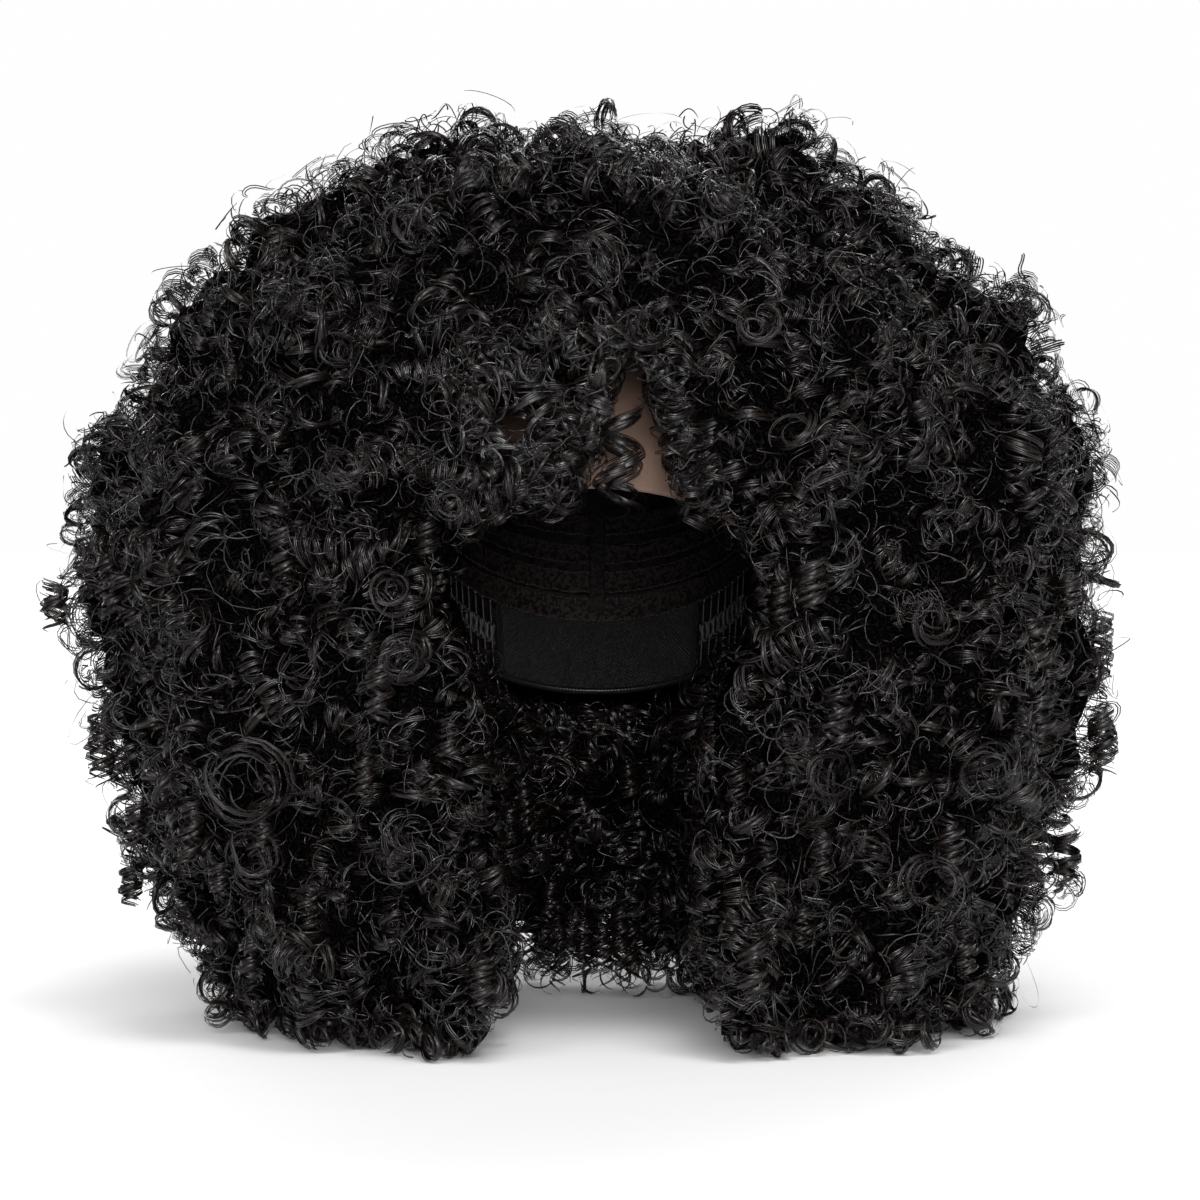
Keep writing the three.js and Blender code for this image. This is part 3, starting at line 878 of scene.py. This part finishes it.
class Strands:
    """Winding locks of an equal number of steps, as arrays with a row for each lock."""

    def __init__(self, centre, axis, out, radius, start, sweep, climb, width, steps, **more):
        """More: how far the lock wavers and its turn swells; apart, how far its middle stands along the
        axis while its ends are gathered; bare, whether it keeps out of the parting and is thinned on the
        fringe; short, whether it keeps out of the gap under the hem; thinned, the share that is left out
        near the floor; and the normals of the mass at the locks."""
        waver, swell = more.get("waver", 0.0006), more.get("swell", 0.0)
        count = len(centre)
        t = np.linspace(0.0, 1.0, steps + 1)[None, :]
        angle = start[:, None] + sweep[:, None] * t
        side = np.cross(axis, out)
        radial = np.cos(angle)[..., None] * out[:, None] + np.sin(angle)[..., None] * side[:, None]
        reach = radius[:, None] * (1 + swell * t)
        places = centre[:, None] + radial * reach[..., None]
        apart = more.get("apart", np.zeros(count))[:, None] * (1 - 0.8 * (2 * t - 1) ** 2)
        places = places + axis[:, None] * (climb[:, None] * t + apart)[..., None]
        wave = np.sin(2 * math.pi * (rng.uniform(0.5, 1.2, (count, 1)) * t + rng.random((count, 1))))
        places = places + vary(count, waver)[:, None] * wave[..., None]
        astray = near_cap(places, 0.003, 0.004).any(axis=1)
        astray |= in_opening(places).mean(axis=1) > rng.uniform(0.05, 0.45, count)
        if more.get("short", True):
            astray |= under_hem(places).mean(axis=1) > rng.uniform(0.15, 1.1, count)
        low = places[..., 2].min(axis=1) < LOW_HAIRS
        astray |= low & (rng.random(count) < more.get("thinned", 0.8))
        if more.get("bare", True):
            astray |= in_parting(places, -0.002).mean(axis=1) > 0.25
            sparse = low_on_fringe(places).mean(axis=1) > 0.4
            astray |= sparse & (fringe_rng.random(count) < FRINGE_THINNED)
        kept = np.flatnonzero(~astray)
        self.along = t
        self.places, self.radial = places[kept], radial[kept]
        self.axis, self.width = axis[kept], width[kept]
        self.normals = more["normals"][kept] if "normals" in more else None
        self.region = region_of(centre[kept])

    def turn(self, roll, bend, tilt=0.0):
        """Sets how each lock's flat side turns from the outside of the curl to its axis, and how far its
        shading bends from one edge to the other, as on a round lock."""
        self.bend = bend
        count = len(self.places)
        turned = np.tan(np.clip(rng.normal(size=count) * roll + tilt, -1.3, 1.3))
        self.facing = unit(self.radial + turned[:, None, None] * self.axis[:, None])
        self.tint = rng.random(count)
        return self

    def face(self, spread, bend):
        """Sets each lock's flat side outwards from the mass, more or less."""
        self.bend = bend
        count = len(self.places)
        outwards = unit(self.normals + vary(count, spread))
        self.facing = np.broadcast_to(outwards[:, None], self.places.shape)
        self.tint = rng.random(count)
        return self

    def part(self, rows, name):
        """Some of the locks as one ribbon mesh, whose map has each lock's number across and its length
        along."""
        places, facing = self.places[rows], self.facing[rows]
        places[..., 2] += np.maximum(LOWEST_HAIR - places[..., 2].min(axis=1, keepdims=True), 0.0)
        count, rings = places.shape[:2]
        along = unit(np.gradient(places, axis=1))
        across = unit(np.cross(along, facing))
        ends = np.clip(np.minimum(self.along, 1 - self.along) / 0.24 + 0.2, 0.0, 1.0)
        half = 0.5 * self.width[rows][:, None] * ends
        edges = np.stack([places - across * half[..., None], places + across * half[..., None]], axis=2)
        edges[..., 2] = np.maximum(edges[..., 2], LOWEST_EDGE)
        first = (np.arange(count)[:, None] * rings + np.arange(rings - 1)[None, :]) * 2
        faces = np.stack([first, first + 1, first + 3, first + 2], axis=-1).reshape(-1, 4)
        mesh = bpy.data.meshes.new(name)
        mesh.vertices.add(count * rings * 2)
        mesh.vertices.foreach_set("co", edges.astype(np.float32).ravel())
        mesh.loops.add(faces.size)
        mesh.loops.foreach_set("vertex_index", faces.astype(np.int32).ravel())
        mesh.polygons.add(len(faces))
        mesh.polygons.foreach_set("loop_start", np.arange(len(faces), dtype=np.int32) * 4)
        mesh.update(calc_edges=True)
        mesh.shade_smooth()
        front = math.cos(self.bend) * np.cross(across, along)
        aside = math.sin(self.bend) * across
        shading = np.stack([front - aside, front + aside], axis=2)
        mesh.normals_split_custom_set_from_vertices(shading.reshape(-1, 3).tolist())
        shape = (count, rings - 1, 4)
        inset = np.array([TINT_EDGE, 1 - TINT_EDGE, 1 - TINT_EDGE, TINT_EDGE])
        column = np.floor(self.tint[rows] * TINTS)[:, None, None] + inset
        low, high = self.along[:, :-1], self.along[:, 1:]
        column = np.broadcast_to(column / TINTS, shape)
        row = np.broadcast_to(np.stack([low, low, high, high], axis=-1), shape)
        layer = mesh.uv_layers.new(name="OFBake")
        layer.data.foreach_set("uv", np.stack([column, row], axis=-1).astype(np.float32).ravel())
        piece = bpy.data.objects.new(name, mesh)
        bpy.context.collection.objects.link(piece)
        return piece

    def lay(self, kind, finish):
        """Makes the pieces of each hair node, each under the limit of triangles."""
        for region, node in enumerate(HAIR_NODES):
            rows = np.flatnonzero(self.region == region)
            if not len(rows):
                continue
            triangles = len(rows) * (self.places.shape[1] - 1) * 2
            parts = np.array_split(rows, math.ceil(triangles / PIECE_LIMIT))
            for number, part in enumerate(parts, 1):
                name = f"{CURL_NAMES[region]}_{kind}_{number}"
                dress(self.part(part, name), finish, node)


def curl_bands(surface, chains, links, cards, steps):
    """Ringlets that lie on the mass: the outer parts of their turns, each a band of a few locks."""
    roots, normals = surface.scatter(chains)
    chains = len(roots)
    axes = hang(normals, 0.9)
    radius = 0.0034 + 0.0052 * rng.random(chains) ** 1.3
    pitch = radius * rng.uniform(0.9, 1.7, chains)
    crest = rng.uniform(-0.0085, 0.0012, chains)
    hand = rng.choice([-1.0, 1.0], chains)
    linked, spread = spreader(links), spreader(cards)
    count = chains * links
    link = np.tile(np.arange(links) - (links - 1) / 2, chains)
    normals = linked(normals)
    pitch, hand = linked(pitch), linked(hand)
    axes = lean(normals, linked(axes) + vary(count, 0.32))
    roots = linked(roots) + axes * (link * pitch * 1.15)[:, None] + vary(count, 0.0014)
    radius = linked(radius) * rng.uniform(0.75, 1.2, count)
    outs = lean(axes, normals + vary(count, 0.3))
    centres = roots + outs * (linked(crest) + rng.normal(size=count) * 0.0014 - radius)[:, None]
    middle = rng.normal(size=count) * 0.45
    half = rng.uniform(1.1, 2.5, count)

    total = count * cards
    share = np.tile(np.linspace(-0.5, 0.5, cards), count)
    wide = spread(pitch)
    sweep = 2 * spread(half) + rng.normal(size=total) * 0.3
    climb = spread(hand) * wide * sweep / (2 * math.pi) * 0.8
    axes, outs = spread(axes), spread(outs)
    made = Strands(
        centre=spread(centres) - axes * (climb / 2)[:, None] + vary(total, 0.0005),
        axis=unit(axes + vary(total, 0.08)),
        out=outs,
        radius=spread(radius) * (1 + 0.09 * rng.normal(size=total) - 0.4 * share ** 2),
        start=spread(middle - half) + rng.normal(size=total) * 0.2,
        sweep=sweep,
        climb=climb,
        width=np.minimum(wide * rng.uniform(0.22, 0.38, total), 0.0026),
        steps=steps,
        apart=share * wide * 0.85,
    )
    return made.turn(0.3, 0.5)


def curl_tangles(surface, clusters, cards, steps):
    """Loose curls: open turns of sparse hairs, wound every way round a common axis."""
    roots, normals = surface.scatter(clusters)
    clusters = len(roots)
    axes = unit(hang(normals, 0.8) + normals * rng.normal(size=(clusters, 1)) * 1.3)
    size = rng.uniform(0.0032, 0.0080, clusters)
    crest = rng.uniform(-0.0065, 0.0008, clusters)
    spread = spreader(cards)
    total = clusters * cards
    axes = unit(spread(axes) + vary(total, 0.32))
    normals = spread(normals)
    level = 1 - np.abs(np.sum(axes * normals, axis=1))
    lift = spread(crest) - spread(size) * level
    centres = spread(roots) + normals * lift[:, None] + vary(total, 0.0022)
    centres = centres + axes * (rng.normal(size=total) * 0.0035)[:, None]
    sweep = rng.uniform(2.4, 5.2, total)
    made = Strands(
        centre=centres,
        axis=axes,
        out=lean(axes, normals),
        radius=spread(size) * rng.uniform(0.7, 1.2, total),
        start=rng.normal(size=total) * 0.7 - sweep / 2,
        sweep=sweep,
        climb=rng.normal(size=total) * 0.003,
        width=rng.uniform(0.0014, 0.0026, total),
        steps=steps,
        waver=0.0013,
        swell=0.2,
        normals=normals,
    )
    return made.face(0.5, 0.8)


# Round curls that are seen end on in front: across, height and radius
ROSETTES = [
    (-0.0518, 0.210, 0.0080),
    (0.0183, 0.281, 0.0088),
    (0.0610, 0.284, 0.0080),
    (-0.0740, 0.182, 0.0085),
    (-0.0720, 0.149, 0.0080),
    (-0.1370, 0.101, 0.0170),
    (-0.1320, 0.068, 0.0115),
    (0.1220, 0.064, 0.0130),
    (0.1280, 0.160, 0.0090),
    (-0.1000, 0.265, 0.0090),
    (0.0900, 0.110, 0.0095),
]


def curl_swirls(surface, count, rings, steps):
    """Ringlets seen end on, as rings within rings: those in front, and others at random."""
    across, heights, radii = np.array(ROSETTES).T
    placed, facing = surface.outermost(across, heights)
    roots, normals = surface.scatter(count)
    count = len(roots)
    axes = unit(normals + vary(count, 0.35))
    roots = np.concatenate([placed, roots])
    axes = np.concatenate([unit(facing + np.array([0.0, -1.0, 0.15])), axes])
    size = np.concatenate([radii, rng.uniform(0.0050, 0.0105, count)])
    crest = np.concatenate([0 * radii + 0.0035, rng.uniform(-0.003, 0.0035, count)])
    outs = lean(axes, vary(len(axes), 1.0))
    spread = spreader(rings)
    total = len(axes) * rings
    ring = rng.uniform(0.12, 1.0, total) ** 0.55
    sink = spread(crest) - spread(size) * 0.6 * (1 - ring) ** 1.5
    drift = spread(outs * size[:, None]) * (0.45 * (1 - ring))[:, None]
    made = Strands(
        centre=spread(roots) + spread(axes) * sink[:, None] + drift + vary(total, 0.0013),
        axis=unit(spread(axes) + vary(total, 0.30)),
        out=spread(outs),
        radius=spread(size) * ring,
        start=rng.uniform(0, 2 * math.pi, total),
        sweep=rng.uniform(2.8, 6.0, total),
        climb=rng.normal(size=total) * 0.0015,
        width=spread(np.minimum(size, 0.009)) * rng.uniform(0.10, 0.19, total),
        steps=steps,
        swell=0.14,
    )
    return made.turn(0.3, 0.5, 0.8)


def curl_frizz(surface, count, steps, radius, crest, width):
    """Loose hairs that stray every way over the curls."""
    roots, normals = surface.scatter(count)
    count = len(roots)
    axes = unit(vary(count, 1.0) + normals * rng.choice([-1.0, 1.0], (count, 1)))
    size = rng.uniform(*radius, count)
    sweep = rng.uniform(2.0, 6.0, count)
    level = 1 - np.abs(np.sum(axes * normals, axis=1))
    made = Strands(
        centre=roots + normals * (rng.uniform(*crest, count) - size * level * 0.8)[:, None],
        axis=axes,
        out=lean(axes, normals + vary(count, 0.5)),
        radius=size,
        start=rng.normal(size=count) * 0.5 - sweep / 2,
        sweep=sweep,
        climb=rng.normal(size=count) * 0.004,
        width=rng.uniform(*width, count),
        steps=steps,
        waver=0.0016,
        normals=normals,
    )
    return made.face(0.5, 1.1)


def curl_loops(surface, count, cards, steps):
    """Arches of a few locks that stand off the mass."""
    roots, normals = surface.scatter(count)
    count = len(roots)
    axes = lean(normals, vary(count, 1.0))
    size = rng.uniform(0.0045, 0.0085, count)
    centres = roots + normals * (rng.uniform(0.0, 0.0066, count) - size)[:, None]
    half = rng.uniform(1.8, 3.2, count)
    spread = spreader(cards)
    total = count * cards
    made = Strands(
        centre=spread(centres) + vary(total, 0.0006),
        axis=unit(spread(axes) + vary(total, 0.09)),
        out=spread(normals),
        radius=spread(size) * (1 + 0.07 * rng.normal(size=total)),
        start=rng.normal(size=total) * 0.2 - spread(half),
        sweep=2 * spread(half),
        climb=spread(rng.normal(size=count)) * 0.004,
        width=rng.uniform(0.0011, 0.0019, total),
        steps=steps,
        waver=0.0007,
    )
    return made.turn(0.5, 0.7)


# Ringlets at the inner corners of the foot: across, depth, height and radius
CORNER_RINGLETS = [
    (-0.031, -0.105, 0.0105, 0.0062),
    (-0.040, -0.112, 0.0085, 0.0058),
    (-0.051, -0.120, 0.0080, 0.0066),
    (-0.036, -0.098, 0.0190, 0.0060),
    (0.039, -0.105, 0.0105, 0.0062),
    (0.049, -0.112, 0.0085, 0.0056),
    (0.061, -0.120, 0.0080, 0.0066),
    (0.042, -0.098, 0.0190, 0.0060),
]


def foot_ringlets(surface, cards, steps):
    """The curl ends that the wig stands on: rings that face outward along its lower edge."""
    low = (surface.places[:, 2] < 0.020) & (np.abs(surface.normals[:, 2]) < 0.75)
    low &= ~near_cap(surface.places, 0.008, 0.012)
    places, normals = surface.places[low], surface.normals[low]
    _, first = np.unique(np.floor(places / 0.0105), axis=0, return_index=True)
    count = len(first)
    flat = unit(normals[first] * np.array([1.0, 1.0, 0.0]) + 1e-6)
    radius = rng.uniform(0.0042, 0.0072, count)
    centres = places[first] + flat * rng.uniform(-0.008, 0.002, (count, 1))
    centres[:, 2] = radius + 0.0006 + 0.009 * rng.random(count) ** 2
    corners = np.array(CORNER_RINGLETS)
    centres = np.concatenate([corners[:, :3] + CAP_AXIS, centres])
    radius = np.concatenate([corners[:, 3], radius])
    flat = np.concatenate([np.broadcast_to(np.array([0.0, -1.0, 0.0]), (len(corners), 3)), flat])
    axes = unit(flat + vary(len(flat), 0.35))
    spread = spreader(cards)
    total = len(axes) * cards
    made = Strands(
        centre=spread(centres) + vary(total, 0.0005),
        axis=unit(spread(axes) + vary(total, 0.11)),
        out=lean(spread(axes), spread(vary(len(axes), 1.0))),
        radius=spread(radius) * (1 + 0.07 * rng.normal(size=total)),
        start=rng.normal(size=total) * 0.4,
        sweep=rng.uniform(5.4, 7.5, total),
        climb=spread(rng.choice([-1.0, 1.0], len(axes))) * rng.uniform(0.001, 0.006, total),
        width=rng.uniform(0.0011, 0.0020, total),
        steps=steps,
        waver=0.0006,
        swell=-0.1,
        thinned=0.0,
    )
    return made.turn(0.4, 0.6, 0.3)


# Ringlets that hang free from the fringe: across, height of the root, depth, radius, turns and length
FRINGE_RINGLETS = [
    (-0.0560, 0.236, -0.118, 0.0080, 2.2, 0.026),
    (-0.0470, 0.244, -0.121, 0.0080, 2.2, 0.034),
    (-0.0390, 0.240, -0.120, 0.0065, 2.4, 0.030),
    (-0.0290, 0.238, -0.122, 0.0080, 2.2, 0.028),
    (-0.0200, 0.246, -0.122, 0.0070, 2.2, 0.034),
    (-0.0130, 0.244, -0.124, 0.0085, 2.2, 0.036),
    (-0.0030, 0.258, -0.119, 0.0050, 2.6, 0.036),
    (0.0091, 0.247, -0.116, 0.0078, 2.4, 0.041),
    (0.0290, 0.258, -0.116, 0.0050, 2.4, 0.024),
    (0.0350, 0.246, -0.118, 0.0062, 2.4, 0.030),
    (0.0440, 0.242, -0.121, 0.0080, 2.2, 0.030),
    (0.0520, 0.240, -0.123, 0.0085, 2.0, 0.034),
    (0.0610, 0.236, -0.118, 0.0085, 2.4, 0.036),
    (0.0680, 0.230, -0.114, 0.0080, 2.2, 0.034),
]


def hanging_ringlets(rows, node, slant, cards, steps):
    """Ringlets that hang free, each of a few locks, with their axes slanted forwards. They belong to one
    node of the curls, or, if none is named, each to the node where it hangs."""
    spread = spreader(cards)
    across, height, depth, radius, turns, length = spread(np.array(rows)).T
    count = len(across)
    axes = unit(np.array([0.0, -slant, -1.0]) + vary(count, 0.06))
    share = np.tile(np.linspace(-0.5, 0.5, cards), len(rows))
    roots = np.stack([across, depth, height], axis=1) + CAP_AXIS
    roots = roots + axes * (share * length / turns * 0.5)[:, None]
    made = Strands(
        centre=roots,
        axis=axes,
        out=np.broadcast_to(np.array([0.0, -1.0, 0.0]), (count, 3)),
        radius=radius * (1 + 0.1 * rng.normal(size=count)),
        start=spread(rng.uniform(0, 6, len(rows))) + rng.normal(size=count) * 0.2,
        sweep=turns * 2 * math.pi + rng.normal(size=count) * 0.6,
        climb=length * (1 + 0.08 * rng.normal(size=count)),
        width=radius * rng.uniform(0.27, 0.41, count),
        steps=steps,
        swell=-0.12,
        bare=False,
        short=False,
        thinned=0.0,
    )
    if node:
        made.region[:] = HAIR_NODES.index(node)
    return made.turn(0.35, 0.6)


def hem_ringlets(surface, count):
    """Rows for the ringlets that hang to the floor under the middle of the back, inside and outside."""
    rows = []
    for towards in (-1.0, 1.0):
        across = np.linspace(-0.030, 0.034, count) + rng.normal(size=count) * 0.0015
        heights = rng.uniform(0.036, 0.044, count)
        places = surface.outermost(across, heights, towards)[0] - CAP_AXIS
        for x, z, y in zip(across, heights, places[:, 1]):
            radius, turns = rng.uniform(0.0030, 0.0052), rng.uniform(2.6, 3.4)
            rows.append((x, z, y - towards * 0.004, radius, turns, z - rng.uniform(0.002, 0.010)))
    return rows


def side_ringlets(surface, count):
    """Rows for the ringlets that hang free where the mass turns under, all round."""
    places, normals = surface.scatter(count)
    level = (normals[:, 2] < 0.25) & (normals[:, 2] > -0.7) & (places[:, 2] > 0.035)
    level &= ~in_opening(places) & (places[:, 2] < 0.21)
    rows = []
    for x, y, z in places[level] + normals[level] * 0.002 - CAP_AXIS:
        radius, turns = rng.uniform(0.0034, 0.0058), rng.uniform(2.0, 3.2)
        length = min(turns * radius * rng.uniform(1.5, 2.2), z - 0.004)
        rows.append((x, z, y, radius, turns, length))
    return rows


def lay_masses(surface, finish):
    """What lies under the curls, a near-black sheet of painted shade, drawn in from their surface so
    that the curls make the outline.
    """
    sunk = surface.places - surface.normals * MASS_DEPTH
    x, y, _ = surface.places[surface.foot].T
    ragged = 0.5 + 0.3 * np.sin(240 * x + 3 * np.sin(130 * y)) + 0.2 * np.sin(430 * x - 310 * y)
    sunk[surface.foot, 2] = np.where(y > 0.03, 0.006 + 0.028 * ragged, 0.010 + 0.014 * ragged)
    centres, region = surface.centres, region_of(surface.centres)
    fringe = (region == HAIR_NODES.index("hair_fringe")) & (centres[:, 2] < FRINGE_MASS_FOOT)
    fringe |= low_on_fringe(centres)
    open_air = near_cap(centres, 0.010, 0.014) | in_parting(centres, 0.004) | under_hem(centres)
    region[open_air | fringe] = -1
    for number, node in enumerate(HAIR_NODES):
        used, index = np.unique(surface.triangles[region == number], return_inverse=True)
        mesh = bpy.data.meshes.new(CURL_NAMES[number] + "_mass")
        mesh.from_pydata(sunk[used].tolist(), [], index.reshape(-1, 3).tolist())
        mesh.shade_smooth()
        piece = bpy.data.objects.new(CURL_NAMES[number] + "_mass", mesh)
        bpy.context.collection.objects.link(piece)
        dress(piece, finish, node)


def grow_curls():
    locks = lock_finish("black_curls", hairs=3.0, gauge=(0.22, 0.40), wander=0.10, ior=1.42)
    bundles = lock_finish("bundled_curls", hairs=3.0, gauge=(0.38, 0.56), wander=0.08, ior=1.40)
    wisps = lock_finish("loose_curls", hairs=2.0, gauge=(0.17, 0.27), wander=0.16, ior=1.5)
    glossy = lock_finish("fringe_curls", hairs=3.0, gauge=(0.24, 0.42), wander=0.10, ior=1.55)
    single = lock_finish("single_hairs", hairs=1.0, gauge=(0.40, 0.60), wander=0.05, ior=1.6)
    surface = Surface(joined_mass(MASS_GRAIN, MASS_ROUNDS))
    region = region_of(surface.centres)
    in_fringe = region == HAIR_NODES.index("hair_fringe")
    in_back = region == HAIR_NODES.index("hair_back")
    fringe = surface.only(in_fringe & (surface.centres[:, 0] < 0.035))
    curtain = surface.only(in_back & (surface.facing[:, 1] < -0.2))
    band = {"links": 3, "cards": 4, "steps": 9}
    tangle = {"cards": 8, "steps": 10}
    fine = {"steps": 10, "radius": (0.003, 0.007), "width": (0.0005, 0.0007)}
    deep = {"steps": 9, "radius": (0.004, 0.008), "width": (0.0006, 0.0009)}
    straying = {"steps": 12, "radius": (0.009, 0.018), "width": (0.0003, 0.0004)}
    curl_bands(surface, 1500, **band).lay("ringlets", locks)
    curl_bands(fringe, 60, **band).lay("ringlets_glossy", glossy)
    curl_tangles(fringe, 70, **tangle).lay("tangles_glossy", glossy)
    curl_frizz(fringe, 500, crest=(-0.001, 0.003), **fine).lay("frizz_more", single)
    curl_bands(curtain, 60, **band).lay("ringlets_inside", glossy)
    curl_tangles(curtain, 60, **tangle).lay("tangles_inside", glossy)
    curl_tangles(surface, 1600, **tangle).lay("tangles", wisps)
    curl_swirls(surface, 220, rings=11, steps=14).lay("swirls", locks)
    from_fringe = hanging_ringlets(FRINGE_RINGLETS, "hair_fringe", slant=-0.05, cards=9, steps=30)
    from_fringe.lay("ringlets_hanging", glossy)
    from_hem = hanging_ringlets(hem_ringlets(surface, 9), "hair_back", slant=0.25, cards=6, steps=30)
    from_hem.lay("ringlets_hanging", bundles)
    curl_loops(surface, 900, cards=6, steps=12).lay("loops", bundles)
    foot_ringlets(surface, cards=4, steps=16).lay("ends", bundles)
    curl_frizz(surface, 13500, crest=(-0.003, 0.002), **fine).lay("frizz", single)
    curl_frizz(surface, 1500, crest=(-0.009, -0.004), **deep).lay("frizz_deep", single)
    curl_frizz(surface, 450, crest=(0.0, 0.009), **straying).lay("stray", single)
    from_sides = hanging_ringlets(side_ringlets(surface, 420), None, slant=0.0, cards=6, steps=26)
    from_sides.lay("ringlets_side", bundles)
    # The masses under the curls, finished in near-black painted shade
    lay_masses(surface, painted_shade_finish())


set_camera()
set_light()
lay_floor()
make_cap()
grow_curls()
